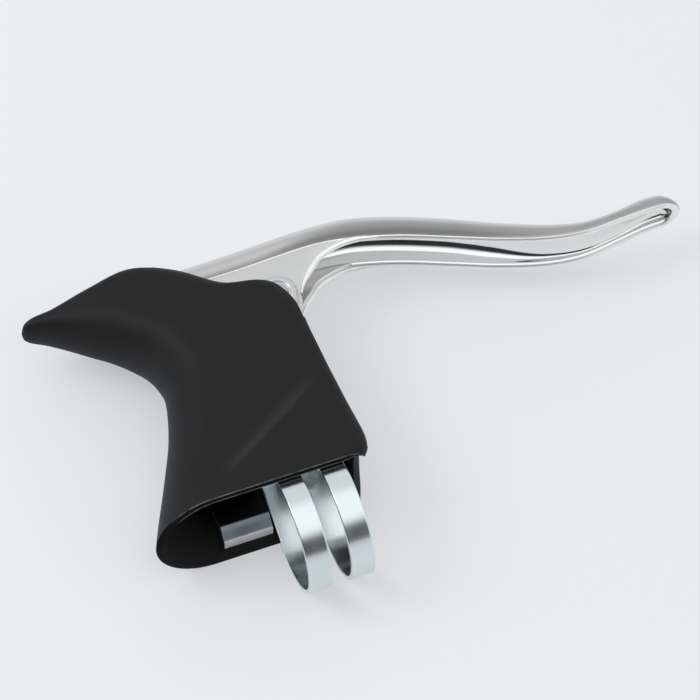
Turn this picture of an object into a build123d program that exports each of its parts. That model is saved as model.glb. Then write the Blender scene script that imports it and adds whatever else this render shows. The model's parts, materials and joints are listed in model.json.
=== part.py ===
from build123d import *
import os
from math import cos, radians, sin

# Brake lever for a drop handlebar, lying on its side. Millimetres.
# The origin is on the handlebar's axis, midway along the clamp band. +X runs along the bar towards the
# blade's tip, +Y from the bar towards the front of the lever, +Z out of the lever's side.

# Handlebar and clamp band
bar_diameter = 24.0
band_sheet = 0.9
hoop_width = 5.1
hoop_gap = 4.2
hoop_slot_top = 14.0
band_wrap = 110.0
band_top = 17.5
band_lip_gap = 6.4
band_fold_radius = 1.6

# Clamp bolt, nut and washer
bolt_diameter = 5.0
bolt_head_diameter = 8.5
bolt_head_height = 5.0
bolt_socket = 4.0
bolt_socket_depth = 2.8
bolt_end = 12.5
bolt_edge = 0.4
thread_clearance = 0.05
nut_gap = 0.7
nut_width = 8.0
nut_height = 4.0
nut_corner = 0.8
washer_diameter = 10.0
washer_thickness = 1.0
bolt_hole_clearance = 0.25

# Rubber hood: wall, rim and the stations of its skin
hood_wall = 1.5
hood_rim = 6.0
hood_corner = 4.0
corner_width_share = 0.45
corner_length_share = 0.4
corner_least = 0.5
hood_lip = 0.3
hood_slot_tail = (-13.6, 52.0)
hood_slot_heel = (7.0, 43.5)
hood_slot_reach = 12.0
bar_arch_clearance = 0.2

# Bracket inside the hood
bracket_gap = 0.1
cheek_clearance = 0.1
bridge_bottom = 19.5
bridge_top = 26.0
bridge_tail = -9.0
foot_bottom = 7.8
foot_tail = -18.6
band_window_clearance = 0.6
pocket_tail = -15.5
right_wall = 2.6
right_wall_top = 42.0
cheek_tail_top = 64.0
cheek_step = (-3.0, 56.5)
ear_neck = (-4.0, 2.2)
ear_radius = 4.5
ear_dish_rim = 0.7
ear_dish_depth = 0.4
ear_gap = 0.5
ear_edge = 0.5

# Web that stops the cable's housing
cable_x = -12.0
stop_bottom = 34.0
stop_top = 41.0
stop_front = -7.5
housing_diameter = 5.2
housing_depth = 5.0
wire_hole_diameter = 2.2

# Lever pivot
pivot_x = 9.5
pivot_y = 51.8
pivot_pin_diameter = 5.0
pivot_pin_chamfer = 0.4
pivot_clearance = 0.05
bush_diameter = 6.8
bush_flange_diameter = 10.0
bush_flange_thickness = 0.6

# Lever blade
blade_half_width = 6.2
blade_wall = 2.0
ear_recess = 0.4
blade_tail = -13.0
blade_tip = 101.6
tip_length = 7.0
tip_depth = 5.0
boss_radius = 5.4
web_height = 10.4
strip_depth = 7.2
ear_lap = 1.8
ear_tail_inset = 1.0

# Cable anchor in the lever's tail
anchor_reach = 18.5
anchor_rise = 6.2
anchor_diameter = 6.4
anchor_boss_radius = 4.7
anchor_clearance = 0.05
nipple_diameter = 4.4
nipple_depth = 3.4

bar_radius = bar_diameter / 2
band_width = 2 * hoop_width + hoop_gap
band_outer_radius = bar_radius + band_sheet
pivot = Vector(pivot_x, pivot_y)
anchor_x = pivot_x - anchor_reach
anchor_y = pivot_y + anchor_rise
anchor = Vector(anchor_x, anchor_y)
crease = pivot_y + web_height
strip_front = crease + strip_depth
ear_face = blade_half_width - ear_recess
cheek_inner = ear_face + bush_flange_thickness + cheek_clearance
far = 200.0

# Each station of the hood: its back point, its front point, half width and length of the rounded back
hood_rows = [
    ((-34.1, hood_rim), (11.8, hood_rim), bar_radius + hood_wall, 13.0),
    ((-32.2, 10.2), (12.9, 9.8), 13.1, 12.5),
    ((-27.2, 20.5), (13.8, 20.5), 12.4, 11.0),
    ((-23.0, 30.0), (13.4, 30.5), 11.9, 10.0),
    ((-20.4, 39.5), (13.1, 41.0), 11.5, 9.5),
    ((-20.7, 44.5), (12.8, 49.0), 11.2, 9.0),
    ((-22.2, 48.5), (9.2, 56.0), 10.8, 9.0),
    ((-24.8, 52.0), (0.3, 59.3), 10.3, 8.5),
    ((-28.0, 55.0), (-8.2, 66.0), 9.5, 8.0),
    ((-31.5, 57.6), (-17.0, 70.4), 8.6, 7.0),
    ((-35.5, 60.6), (-26.5, 69.5), 7.2, 5.6),
    ((-39.6, 63.5), (-35.6, 68.0), 5.2, 3.0),
]
horn_tip = (-43.6, 66.5)
core_end_row = 9
right_wall_row = 4
ear_row = 6
ear_outer = hood_rows[ear_row][2] - hood_wall - ear_gap

# Each station of the blade: place along X, how far its crest drops from the strip's front, its depth
# and how much narrower than the strip each half of it is
blade_rows = [
    (blade_tail, 0.4, strip_depth - 0.2, 0.0),
    (-4.0, 0.2, strip_depth - 0.1, 0.0),
    (5.0, 0.0, strip_depth, 0.0),
    (14.0, -0.4, strip_depth, 0.0),
    (22.5, -0.6, strip_depth + 0.2, 0.0),
    (31.0, -0.1, 8.3, 0.0),
    (40.5, 2.8, 8.1, 0.05),
    (51.0, 7.4, 7.8, 0.15),
    (60.5, 12.2, 6.9, 0.35),
    (70.0, 16.5, 5.65, 0.65),
    (78.5, 19.5, 3.95, 1.1),
    (86.5, 19.4, 3.55, 1.6),
    (94.5, 17.8, 4.6, 1.9),
    (103.0, 18.1, 4.6, 1.9),
]
gusset_row = 5
# The rear edge from blade to boss: points from the boss's heel, and its direction at both ends
gusset_points = [(8.2, 8.2), (4.7, 5.7)]
gusset_start_way = (-1.0, 0.05)
gusset_end_way = (-0.1, -1.0)


def station(row, inset, reach=0):
    """One closed section of the hood, moved in from its skin by inset and drawn out in front by reach."""
    back, front, half_width, back_length = row
    run = Vector(front[0] - back[0], front[1] - back[1])
    length = run.length - 2 * inset + reach
    half = half_width - inset
    nose = back_length - inset
    corner = min(hood_corner, corner_width_share * half_width, corner_length_share * run.length) - inset
    corner = max(corner, corner_least)
    front_end = length - corner
    edges = Curve() + [
        EllipticalCenterArc((nose, 0), nose, half, start_angle=90, arc_size=180),
        Line((nose, -half), (front_end, -half)),
        RadiusArc((front_end, -half), (length, -half + corner), -corner),
        Line((length, -half + corner), (length, half - corner)),
        RadiusArc((length, half - corner), (front_end, half), -corner),
        Line((front_end, half), (nose, half)),
    ]
    return station_plane(row, inset) * make_face(edges)


def station_plane(row, inset=0):
    """Plane of one station: x runs from its back to its front, y is across the lever."""
    back, front = row[:2]
    along = Vector(front[0] - back[0], front[1] - back[1]).normalized()
    return Plane(origin=Vector(*back) + along * inset, x_dir=along, z_dir=along.cross(Vector(0, 0, 1)))


def hood_core(inset):
    """What fills the hood inside a skin of thickness inset, from below the rim up into the horn."""
    mouth = station(hood_rows[0], inset)
    core = loft([mouth] + [station(row, inset) for row in hood_rows[1:]])
    core = split(core, bisect_by=station_plane(hood_rows[core_end_row]), keep=Keep.TOP)
    return core + extrude(mouth, hood_wall, dir=(0, -1, 0))


def slab(outline, low, high):
    """A side outline made solid between two heights."""
    return extrude(Pos(0, 0, low) * outline, high - low)


def rect(x_low, y_low, x_high, y_high):
    return Pos((x_low + x_high) / 2, (y_low + y_high) / 2) * Rectangle(x_high - x_low, y_high - y_low)


def round_along_y(x, y_low, y_high, radius):
    """A round bar along Y, between two places, at z = 0."""
    plane = Plane(origin=(x, y_low, 0), x_dir=(1, 0, 0), z_dir=(0, 1, 0))
    return extrude(plane * Circle(radius), y_high - y_low)


def bar_space(x_low, x_high, radius):
    plane = Plane(origin=(x_low, 0, 0), x_dir=(0, 1, 0), z_dir=(1, 0, 0))
    return extrude(plane * Circle(radius), x_high - x_low)


def hood():
    skin = loft([station(row, 0) for row in hood_rows] + [Vertex(*horn_tip, 0)])
    shell = skin - hood_core(hood_wall)
    front = Polyline(
        hood_slot_tail,
        (hood_slot_tail[0], far),
        (far, far),
        (far, hood_slot_heel[1]),
        hood_slot_heel,
        close=True,
    )
    lever_way = loft([station(row, hood_wall + hood_lip, hood_slot_reach) for row in hood_rows])
    shell -= lever_way & slab(make_face(front), -far, far)
    return shell - bar_space(0, far, bar_radius + bar_arch_clearance)


def bracket():
    core = hood_core(hood_wall + bracket_gap)
    core -= slab(rect(-far, -far, far, foot_bottom), -far, far)
    core -= slab(rect(-far, -far, foot_tail, bridge_bottom), -far, far)
    core -= bar_space(-far, far, bar_radius + bar_arch_clearance)
    front = Polyline(
        (pocket_tail, cheek_tail_top),
        cheek_step,
        pivot + Vector(*ear_neck),
        pivot,
        (far, pivot_y),
        (far, far),
        (pocket_tail, far),
        close=True,
    )
    core -= slab(make_face(front), -far, far)
    ears = slab(Pos(pivot) * Circle(ear_radius), cheek_inner, ear_outer)
    ears = chamfer(ears.edges().group_by(Axis.Z)[-1], ear_edge)
    core += ears + mirror(ears, Plane.XY)
    lower_pocket = rect(-far, 0, far, bridge_bottom)
    right_wall_face = hood_rows[right_wall_row][1][0] - hood_wall - right_wall
    upper_pocket = rect(pocket_tail, bridge_top, right_wall_face, far)
    mouth = rect(pocket_tail, right_wall_top, far, far)
    tail_pocket = rect(-far, 0, bridge_tail, stop_bottom)
    stop = rect(pocket_tail, stop_bottom, stop_front, stop_top)
    pocket = lower_pocket + upper_pocket + mouth + tail_pocket - stop
    core -= slab(pocket, -cheek_inner, cheek_inner)
    window = band_width / 2 + band_window_clearance
    core -= slab(rect(-window, 0, window, bridge_bottom), -far, far)
    core -= round_along_y(0, bridge_bottom, bridge_top, bolt_diameter / 2 + bolt_hole_clearance)
    core -= round_along_y(cable_x, stop_bottom, stop_bottom + housing_depth, housing_diameter / 2)
    core -= round_along_y(cable_x, stop_bottom, stop_top, wire_hole_diameter / 2)
    core -= slab(Pos(pivot) * Circle(pivot_pin_diameter / 2), -far, far)
    dish = slab(Pos(pivot) * Circle(pivot_pin_diameter / 2 + ear_dish_rim), ear_outer - ear_dish_depth, far)
    return core - dish - mirror(dish, Plane.XY)


def rear_edge(row):
    """Y of the rear edge of one of the blade's stations."""
    _, drop, depth, _ = row
    return strip_front - drop - depth


def blade_section(row, inset):
    """D-shaped section of the blade, moved in by inset and drawn out behind by as much."""
    place, _, depth, narrowing = row
    half = blade_half_width - narrowing - inset
    plane = Plane(origin=(place, rear_edge(row), 0), x_dir=(0, 1, 0), z_dir=(1, 0, 0))
    crest = EllipticalCenterArc((0, 0), depth - inset, half, start_angle=-90, arc_size=180)
    behind = [(0, half), (-inset, half), (-inset, -half), (0, -half)] if inset else [(0, half), (0, -half)]
    return plane * make_face(Curve() + [crest] + [Line(a, b) for a, b in zip(behind, behind[1:])])


def tip_trim(inset):
    """Space inside a tip with a rounded end, both in plan and from the side."""
    end = blade_tip - inset
    half = blade_half_width - blade_rows[-1][3] - inset
    plan = Plane(origin=(0, 0, 0), x_dir=(1, 0, 0), z_dir=(0, -1, 0))
    nose = rect(-far, -far, end - half, far) + Pos(end - half, 0) * Circle(half)
    start = blade_tip - tip_length
    profile = rect(-far, -far, start, far)
    profile += Pos(start, rear_edge(blade_rows[-1])) * Ellipse(tip_length - inset, tip_depth - inset)
    return extrude(plan * nose, far, both=True) & slab(profile, -far, far)


def ear_outline():
    """Side outline of one ear: pivot boss, anchor boss, strip and the curved rear gusset."""
    strip_middle = crease + ear_lap
    bosses = make_hull(
        (
            Pos(pivot) * Circle(boss_radius)
            + Pos(anchor) * Circle(anchor_boss_radius)
            + rect(blade_tail + ear_tail_inset, crease, pivot_x + boss_radius, strip_middle)
        ).edges()
    )
    heel = pivot + Vector(boss_radius, 0)
    rim_start = Vector(blade_rows[gusset_row][0], rear_edge(blade_rows[gusset_row]))
    curve = [rim_start] + [heel + Vector(*point) for point in gusset_points] + [heel]
    gusset = make_face(
        Curve() + [
            Spline(*curve, tangents=(gusset_start_way, gusset_end_way)),
            Line(heel, pivot),
            Line(pivot, (pivot_x, strip_middle)),
            Line((pivot_x, strip_middle), (rim_start.X, strip_middle)),
            Line((rim_start.X, strip_middle), rim_start),
        ]
    )
    return bosses + gusset


def lever_blade():
    solid = loft([blade_section(row, 0) for row in blade_rows]) & tip_trim(0)
    hollow_rows = [(blade_tail - blade_wall, *blade_rows[0][1:])] + blade_rows[1:]
    solid -= loft([blade_section(row, blade_wall) for row in hollow_rows]) & tip_trim(blade_wall)
    ear = slab(ear_outline(), blade_half_width - blade_wall, ear_face)
    ear -= slab(Pos(pivot) * Circle(bush_diameter / 2), -far, far)
    ear -= slab(Pos(anchor) * Circle(anchor_diameter / 2 + anchor_clearance), -far, far)
    return solid + ear + mirror(ear, Plane.XY)


def pivot_pin():
    pin = slab(Pos(pivot) * Circle(pivot_pin_diameter / 2), -ear_outer, ear_outer)
    return chamfer(pin.edges().filter_by(GeomType.CIRCLE), pivot_pin_chamfer)


def pivot_bush():
    tube = slab(Pos(pivot) * Circle(bush_diameter / 2), blade_half_width - blade_wall, ear_face)
    flange = slab(Pos(pivot) * Circle(bush_flange_diameter / 2), ear_face, ear_face + bush_flange_thickness)
    bore = slab(Pos(pivot) * Circle(pivot_pin_diameter / 2 + pivot_clearance), 0, far)
    return tube + flange - bore


def cable_anchor():
    barrel = slab(Pos(anchor) * Circle(anchor_diameter / 2), -ear_face, ear_face)
    barrel = chamfer(barrel.edges().filter_by(GeomType.CIRCLE), pivot_pin_chamfer)
    front = anchor_y + anchor_diameter / 2
    barrel -= round_along_y(anchor_x, anchor_y - anchor_diameter, front, wire_hole_diameter / 2)
    return barrel - round_along_y(anchor_x, front - nipple_depth, far, nipple_diameter / 2)


def leg_face(y, inset=0):
    """Distance of one of the band's legs from the middle plane, at height y above the bar's axis."""
    turn = radians(band_wrap)
    return (band_outer_radius - inset + y * cos(turn)) / sin(turn)


def clamp_band():
    """Sheet hoop round the bar, drawn in the plane across the bar: first Y, then Z."""
    turn = radians(band_wrap)
    end_y = -band_outer_radius * cos(turn)
    end_z = band_outer_radius * sin(turn)
    top_z = leg_face(band_top)
    loop = make_face(
        Curve() + [
            ThreePointArc((end_y, -end_z), (-band_outer_radius, 0), (end_y, end_z)),
            Line((end_y, end_z), (band_top, top_z)),
            Line((band_top, top_z), (band_top, -top_z)),
            Line((band_top, -top_z), (end_y, -end_z)),
        ]
    )
    loop = fillet(loop.vertices().group_by(Axis.X)[-1], band_fold_radius)
    sheet = loop - offset(loop, -band_sheet)
    sheet -= rect(bar_radius, -band_lip_gap / 2, far, band_lip_gap / 2)
    band = extrude(Plane.YZ * sheet, band_width / 2, both=True)
    slot = rect(-hoop_gap / 2, -far, hoop_gap / 2, hoop_slot_top - hoop_gap / 2)
    slot += Pos(0, hoop_slot_top - hoop_gap / 2) * Circle(hoop_gap / 2)
    return band - slab(slot, -far, far)


def clamp_nut():
    top = band_top - band_sheet
    half_length = leg_face(top, band_sheet) - nut_gap
    plate = slab(rect(-nut_width / 2, top - nut_height, nut_width / 2, top), -half_length, half_length)
    plate = chamfer(plate.edges().filter_by(Axis.Y), nut_corner)
    return plate - round_along_y(0, 0, far, bolt_diameter / 2 + thread_clearance)


def bolt_washer():
    ring = round_along_y(0, bridge_top, bridge_top + washer_thickness, washer_diameter / 2)
    return ring - round_along_y(0, 0, far, bolt_diameter / 2 + bolt_hole_clearance)


def clamp_bolt():
    seat = bridge_top + washer_thickness
    crown = seat + bolt_head_height
    shank = round_along_y(0, bolt_end, seat, bolt_diameter / 2)
    shank = chamfer(shank.edges().group_by(Axis.Y)[0], bolt_edge)
    head = round_along_y(0, seat, crown, bolt_head_diameter / 2)
    head = chamfer(head.edges().group_by(Axis.Y)[-1], bolt_edge)
    key = Plane(origin=(0, crown - bolt_socket_depth, 0), x_dir=(1, 0, 0), z_dir=(0, 1, 0))
    socket = extrude(key * RegularPolygon(bolt_socket / 2, 6, major_radius=False), bolt_head_height)
    return shank + head - socket


upper_bush = pivot_bush()
pieces = {
    "hood": hood(),
    "bracket": bracket(),
    "lever_blade": lever_blade(),
    "pivot_pin": pivot_pin(),
    "pivot_bush_upper": upper_bush,
    "pivot_bush_lower": mirror(upper_bush, Plane.XY),
    "cable_anchor": cable_anchor(),
    "clamp_band": clamp_band(),
    "clamp_bolt": clamp_bolt(),
    "clamp_nut": clamp_nut(),
    "bolt_washer": bolt_washer(),
}

os.makedirs("parts", exist_ok=True)
for name, piece in pieces.items():
    export_step(piece, f"parts/{name}.step")
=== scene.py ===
import json
import math

import bmesh
import bpy
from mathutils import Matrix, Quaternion, Vector


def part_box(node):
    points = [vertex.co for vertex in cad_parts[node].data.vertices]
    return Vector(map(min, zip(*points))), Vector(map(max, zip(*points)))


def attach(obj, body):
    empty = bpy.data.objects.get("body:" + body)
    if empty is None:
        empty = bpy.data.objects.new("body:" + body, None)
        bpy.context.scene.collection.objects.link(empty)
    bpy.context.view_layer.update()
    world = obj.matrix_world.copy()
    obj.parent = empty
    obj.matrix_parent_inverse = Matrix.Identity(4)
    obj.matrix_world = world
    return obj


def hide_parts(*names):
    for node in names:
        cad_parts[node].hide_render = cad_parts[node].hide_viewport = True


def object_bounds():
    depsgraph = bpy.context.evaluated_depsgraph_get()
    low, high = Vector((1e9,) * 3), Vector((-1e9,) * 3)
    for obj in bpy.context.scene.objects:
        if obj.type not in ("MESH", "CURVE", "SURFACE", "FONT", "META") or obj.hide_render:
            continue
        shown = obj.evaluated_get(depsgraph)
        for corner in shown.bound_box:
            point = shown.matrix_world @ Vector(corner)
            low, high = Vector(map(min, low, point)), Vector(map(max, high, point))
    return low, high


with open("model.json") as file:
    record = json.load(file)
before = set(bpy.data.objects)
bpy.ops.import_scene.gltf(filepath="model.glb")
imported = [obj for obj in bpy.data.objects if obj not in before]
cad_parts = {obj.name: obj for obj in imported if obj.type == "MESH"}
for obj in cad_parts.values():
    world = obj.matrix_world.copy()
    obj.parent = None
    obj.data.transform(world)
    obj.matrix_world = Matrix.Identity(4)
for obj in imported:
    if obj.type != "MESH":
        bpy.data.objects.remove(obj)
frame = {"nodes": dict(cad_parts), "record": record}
CAD_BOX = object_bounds()

bl_info = {
    "name": "Brake lever",
    "version": (1, 0, 0),
    "blender": (4, 5, 0),
    "location": "3D View > Sidebar > Brake lever",
    "description": "Dresses a drop-bar brake lever with its hood, blade, clamp band and finishes",
    "category": "Object",
}

MM = 0.001
RECORD = frame["record"]
PIVOT = RECORD["behaviour"]["joints"][0]["pos_m"]
ANCHOR = RECORD["behaviour"]["joints"][1]["pos_m"]
BAR_RADIUS = RECORD["mounts"][0]["dims"]["r_mm"] * MM

# Edges that turn by more are rounded, points this near are merged, and this keeps a width off zero
SHARP = math.radians(50)
WELD = 1e-6
TINY = 1e-9

# Edge wear: cosines of the turn where it starts and is full, and the level and scale of its spots
WEAR_TURN = (0.99, 0.85)
WEAR_SPOTS = (0.3, 0.6)
WEAR_SPOT_SCALE = 700

# Hood stations in millimetres: back X and Y, front X and Y, half width, length of the rounded back
HOOD_ROWS = [
    (-34.1, 6.0, 12.2, 6.0, 13.5, 13.0),
    (-32.2, 10.2, 14.2, 9.8, 13.1, 12.5),
    (-27.2, 20.5, 13.8, 20.5, 12.4, 11.0),
    (-23.0, 30.0, 13.4, 30.5, 11.9, 10.0),
    (-20.4, 39.5, 13.1, 41.0, 11.5, 9.5),
    (-20.7, 44.5, 12.8, 49.0, 11.2, 9.0),
    (-22.2, 48.5, 9.2, 55.6, 10.8, 9.0),
    (-24.8, 52.0, 0.3, 58.6, 10.3, 8.5),
    (-28.0, 55.0, -8.2, 66.0, 9.5, 8.0),
    (-31.5, 57.6, -17.0, 70.4, 8.6, 7.0),
    (-35.5, 60.6, -26.5, 69.5, 7.2, 5.6),
    (-39.6, 63.5, -35.6, 68.0, 5.2, 3.0),
    (-42.2, 64.8, -40.2, 67.9, 3.9, 1.9),
    (-43.4, 65.8, -42.6, 67.4, 2.4, 0.7),
    (-43.6, 66.5, -43.6, 66.5, 0.0, 0.0),
]
# Steps between stations, and points round half a station: back, side, corner and front
HOOD_STEPS = 6
HOOD_BACK = 12
HOOD_SIDE = 28
HOOD_CORNER = 5
HOOD_FRONT = 5
HOOD_COLUMNS = 2 * (HOOD_BACK + HOOD_SIDE + HOOD_CORNER + HOOD_FRONT)
# Corner points kept beside the lever's slot, and the station where the arch over the bar ends
HOOD_LIP = 3
ARCH_TOP_ROW = 2
# The most that a corner takes of a station's half width and of its length
CORNER_ACROSS = 0.45
CORNER_ALONG = 0.4
LIP_BEVEL = 0.5 * MM
# Shares of the crease's length over which it fades in and out, and how fast its ridge falls off
CREASE_IN = (-0.3, 0.25)
CREASE_OUT = (0.75, 1.3)
RIDGE_FALL = 2
# Where the painted highlight along the crease comes and goes: height on the cheek, across it and along
# it
CREASE_HIGHLIGHT_SIDE = (8 * MM, 10 * MM)
CREASE_HIGHLIGHT_BELOW = (-0.8 * MM, 0.2 * MM)
CREASE_HIGHLIGHT_ABOVE = (3.0 * MM, 0.3 * MM)
CREASE_HIGHLIGHT_START = (0, 0.25)
CREASE_HIGHLIGHT_END = (1.1, 0.7)
# Where the trimmed lip gets its painted highlight: Z, Y and the level of its spots
LIP_HIGHLIGHT_UPPER = (8 * MM, 12.5 * MM)
LIP_HIGHLIGHT_MOUTH = (20 * MM, 14 * MM)
LIP_HIGHLIGHT_SPOTS = (0.2, 0.6)
LIP_HIGHLIGHT_SPOT_SCALE = 500

# Blade stations in millimetres: X, drop of the front crest, depth, how much narrower each half is
BLADE_ROWS = [
    (-13.0, 0.4, 7.0, 0.0),
    (-4.0, 0.2, 7.1, 0.0),
    (5.0, 0.0, 7.2, 0.0),
    (14.0, -0.4, 7.2, 0.0),
    (22.5, -0.6, 7.4, 0.0),
    (31.0, -0.1, 8.3, 0.0),
    (40.5, 2.7, 8.4, 0.0),
    (51.0, 7.1, 8.4, 0.0),
    (60.5, 11.9, 7.6, 0.0),
    (70.0, 16.2, 6.4, 0.1),
    (78.5, 19.1, 4.7, 0.3),
    (86.5, 19.1, 4.0, 0.8),
    (94.5, 17.7, 4.7, 1.5),
    (103.0, 18.1, 4.6, 1.9),
]
# Steps between stations, points along the blade, round its tip and across it, and the plain tail's end
BLADE_STEPS = 8
BLADE_ALONG = 84
BLADE_TIP_STEPS = 10
BLADE_ACROSS = 20
TAIL_MARGIN = 0.1 * MM
# Metal in front of the channel: walls at the root, the most of the depth there, shares further on
CREST_WALL = 1.6
ROOT_SHARE = 0.42
NECK_SHARE = 0.6
TIP_LESS = 0.06
NECK_RUN = (58 * MM, 72 * MM)
TIP_RUN = (88 * MM, 96 * MM)
# How much flatter the channel's floor gets, and where
FLATTER = 0.5
FLATTER_RUN = (58 * MM, 74 * MM)
# Painted shade on the front strip, darker towards its edges: where it starts across, how much sooner
# further on, how it fades
STRIP_SHADE_START = 0.86
STRIP_SHADE_SOONER = 0.41
STRIP_SHADE_RUN = (8 * MM, 32 * MM)
STRIP_SHADE_FADE = 0.4
STRIP_SHADE_FADE_RUN = (50 * MM, 75 * MM)
# Scales of the polishing lines along X, Y and Z
POLISH_ALONG = (60.0, 2600.0, 2600.0)
POLISH_WEB = (900.0, 2600.0, 2600.0)
# The round mark in the channel: its middle, its radius and the shares of it where its edge fades
CHANNEL_MARK = (33.6 * MM, 58.8 * MM, 0.0)
CHANNEL_MARK_RADIUS = 2.0 * MM
CHANNEL_MARK_EDGE = (1.15, 0.85)

# The gusset ends on this blade station, and bends at these distances from the pivot boss
GUSSET_ROW = 5
GUSSET_POINTS = [(8.2, 8.2), (4.7, 5.7)]
GUSSET_STEPS = 8
# The bead: its points, how deep it sits in the ear, where it joins the rim, its run and its taper
BEAD_SIDES = 10
BEAD_SMOOTHING = 6
BEAD_SINK = 0.15
BEAD_JOIN = 1 * MM
BEAD_LIFT = 0.1 * MM
BEAD_RUN = 10.0 * MM
BEAD_END = 0.3
BEAD_TAPER = 8
# The ear: first blade station under its lap, points round its bosses, degrees where they end
EAR_FIRST_ROW = 3
EAR_PIVOT_STEPS = 14
EAR_ANCHOR_STEPS = 12
EAR_ANCHOR_END = -190
EAR_SHOULDER = 1.0 * MM
EAR_BEVEL = 0.65 * MM

# Points along half the band: lip, fold, straight leg and arc round the bar
BAND_LIP = 2
BAND_FOLD = 5
BAND_LEG = 8
BAND_ARC = 24
# Gap to the CAD band's underside, distance of the support lines from a hoop's edges, and their bevel
BAND_MARGIN = 0.01 * MM
BAND_EDGE = 0.35 * MM
BAND_BEVEL = 0.16 * MM

# Painted shade inside the bracket by distance from the middle, and painted shade under the hood and a
# painted highlight on the foot by height
SHADE_INSIDE = (6.9 * MM, 6.5 * MM)
SHADE_UNDER_HOOD = (46 * MM, 42 * MM)
FOOT_HIGHLIGHT = (8.15 * MM, 8.0 * MM)
# Bands that the wave texture has in pi metres at a scale of 1
WAVE_BANDS = 10

# The table: points round it, share of the wall that sweeps up, its steps, gap under the part
TABLE_POINTS = 96
SWEEP_SHARE = 0.6
SWEEP_STEPS = 8
TABLE_GAP = 0.02 * MM
SENSOR_WIDTH = 36
# Limits of the studio's parts, by direction from the part: each goes from none to full
WALL_FRONT = (0.1, 0.5)
WALL_LOW = (0.45, 0.05)
FLAG_BEHIND = (0.15, -0.35)
FLAG_LOW = (0.84, 0.6)
FLAG_LEFT = (0.4, 0.2)
SKY_MIDDLE = (-0.05, -0.4, 1)
SKY_EDGE = (0.62, 0.86)


def length_value(name, description, default):
    """A length that a user can change."""
    return bpy.props.FloatProperty(
        name=name, description=description, default=default, unit="LENGTH", precision=5
    )


def point_value(name, description, default):
    """A point that a user can move."""
    return bpy.props.FloatVectorProperty(
        name=name,
        description=description,
        default=default,
        size=len(default),
        unit="LENGTH",
        precision=5,
    )


def colour_value(name, description, default):
    """A colour that a user can change."""
    return bpy.props.FloatVectorProperty(
        name=name, description=description, default=default, subtype="COLOR", min=0, max=1
    )


class HoodSettings(bpy.types.PropertyGroup):
    wall: length_value("Wall", "Thickness of the rubber", 1.5 * MM)
    corner: length_value("Corner", "Radius of the front corners", 4.0 * MM)
    slot_tail: length_value("Slot tail", "X where the lever's slot ends under the horn", -13.6 * MM)
    slot_heel: length_value("Slot heel", "Y where the lever's slot starts", 43.5 * MM)
    arch: length_value("Bar arch", "Radius of the arch over the bar", BAR_RADIUS + 0.2 * MM)
    crease_start: point_value(
        "Crease start", "Lower end of the cheek's crease", (-17.5 * MM, 10.2 * MM)
    )
    crease_end: point_value("Crease end", "Upper end of the cheek's crease", (8.5 * MM, 26.7 * MM))
    scoop: length_value("Scoop", "Depth of the hollow beside the crease", 1.25 * MM)
    scoop_width: length_value(
        "Scoop width", "Distance from the crease to the hollow's deepest line", 3.2 * MM
    )
    ridge: length_value("Ridge", "Height of the crease above the cheek", 0.3 * MM)
    flare: length_value(
        "Flare", "How much further the mouth's upper front corner stands out", 1.9 * MM
    )
    rubber: colour_value("Rubber", "Colour of the rubber", (0.007, 0.007, 0.0075))
    # Painted highlight along the cheeks' creases
    painted_highlight: colour_value(
        "Rubbed rubber", "Colour of the rubber where hands rub the creases", (0.021, 0.021, 0.022)
    )
    # Painted highlight on the trimmed upper lip of the mouth
    lip_highlight: colour_value("Cut rubber", "Colour of the trimmed rim", (0.17, 0.17, 0.173))


class BladeSettings(bpy.types.PropertyGroup):
    half_width: length_value("Half width", "Half the blade's width", 6.2 * MM)
    wall: length_value("Wall", "Thickness of the hollow blade", 2.0 * MM)
    tip: length_value("Tip", "X of the blade's end", 101.6 * MM)
    tip_length: length_value("Tip length", "Length of the rounded end", 7.0 * MM)
    tip_depth: length_value("Tip depth", "Depth of the rounded end", 5.0 * MM)
    strip_front: length_value("Strip front", "Y of the crest above the pivot", PIVOT[1] + 17.6 * MM)
    crease: length_value("Crease", "Y where the strip meets the web", PIVOT[1] + 10.4 * MM)
    boss_radius: length_value("Boss", "Radius of the pivot boss", 5.4 * MM)
    anchor_boss: length_value("Anchor boss", "Radius of the cable anchor's boss", 4.7 * MM)
    ear_thickness: length_value("Ear", "Thickness of each ear", 1.6 * MM)
    ear_lap: length_value("Ear lap", "Height that the ears reach into the strip", 1.0 * MM)
    ear_face: length_value("Ear face", "Distance of an ear's outer face from the middle", 5.8 * MM)
    rim_round: length_value("Rim round", "How far the rounded rim swells out", 0.8 * MM)
    bead: length_value("Bead", "Radius of the rolled bead along the rim", 0.75 * MM)
    satin: colour_value("Satin alloy", "Colour of the blade's satin front", (0.68, 0.675, 0.66))
    # Painted shade: the front strip's colour towards its edges
    painted_strip_shade: colour_value("Tarnish", "Colour of the front strip towards its edges", (0.2, 0.2, 0.2))
    web: colour_value("Web alloy", "Colour of the flat ears", (0.69, 0.69, 0.68))
    rim: colour_value("Rim alloy", "Colour of the rolled rim and beads", (0.92, 0.92, 0.91))
    alloy: colour_value("Alloy", "Colour of the polished alloy", (0.82, 0.82, 0.81))
    mark: colour_value("Mark", "Colour of the mould's round mark in the channel", (0.42, 0.45, 0.5))


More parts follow.
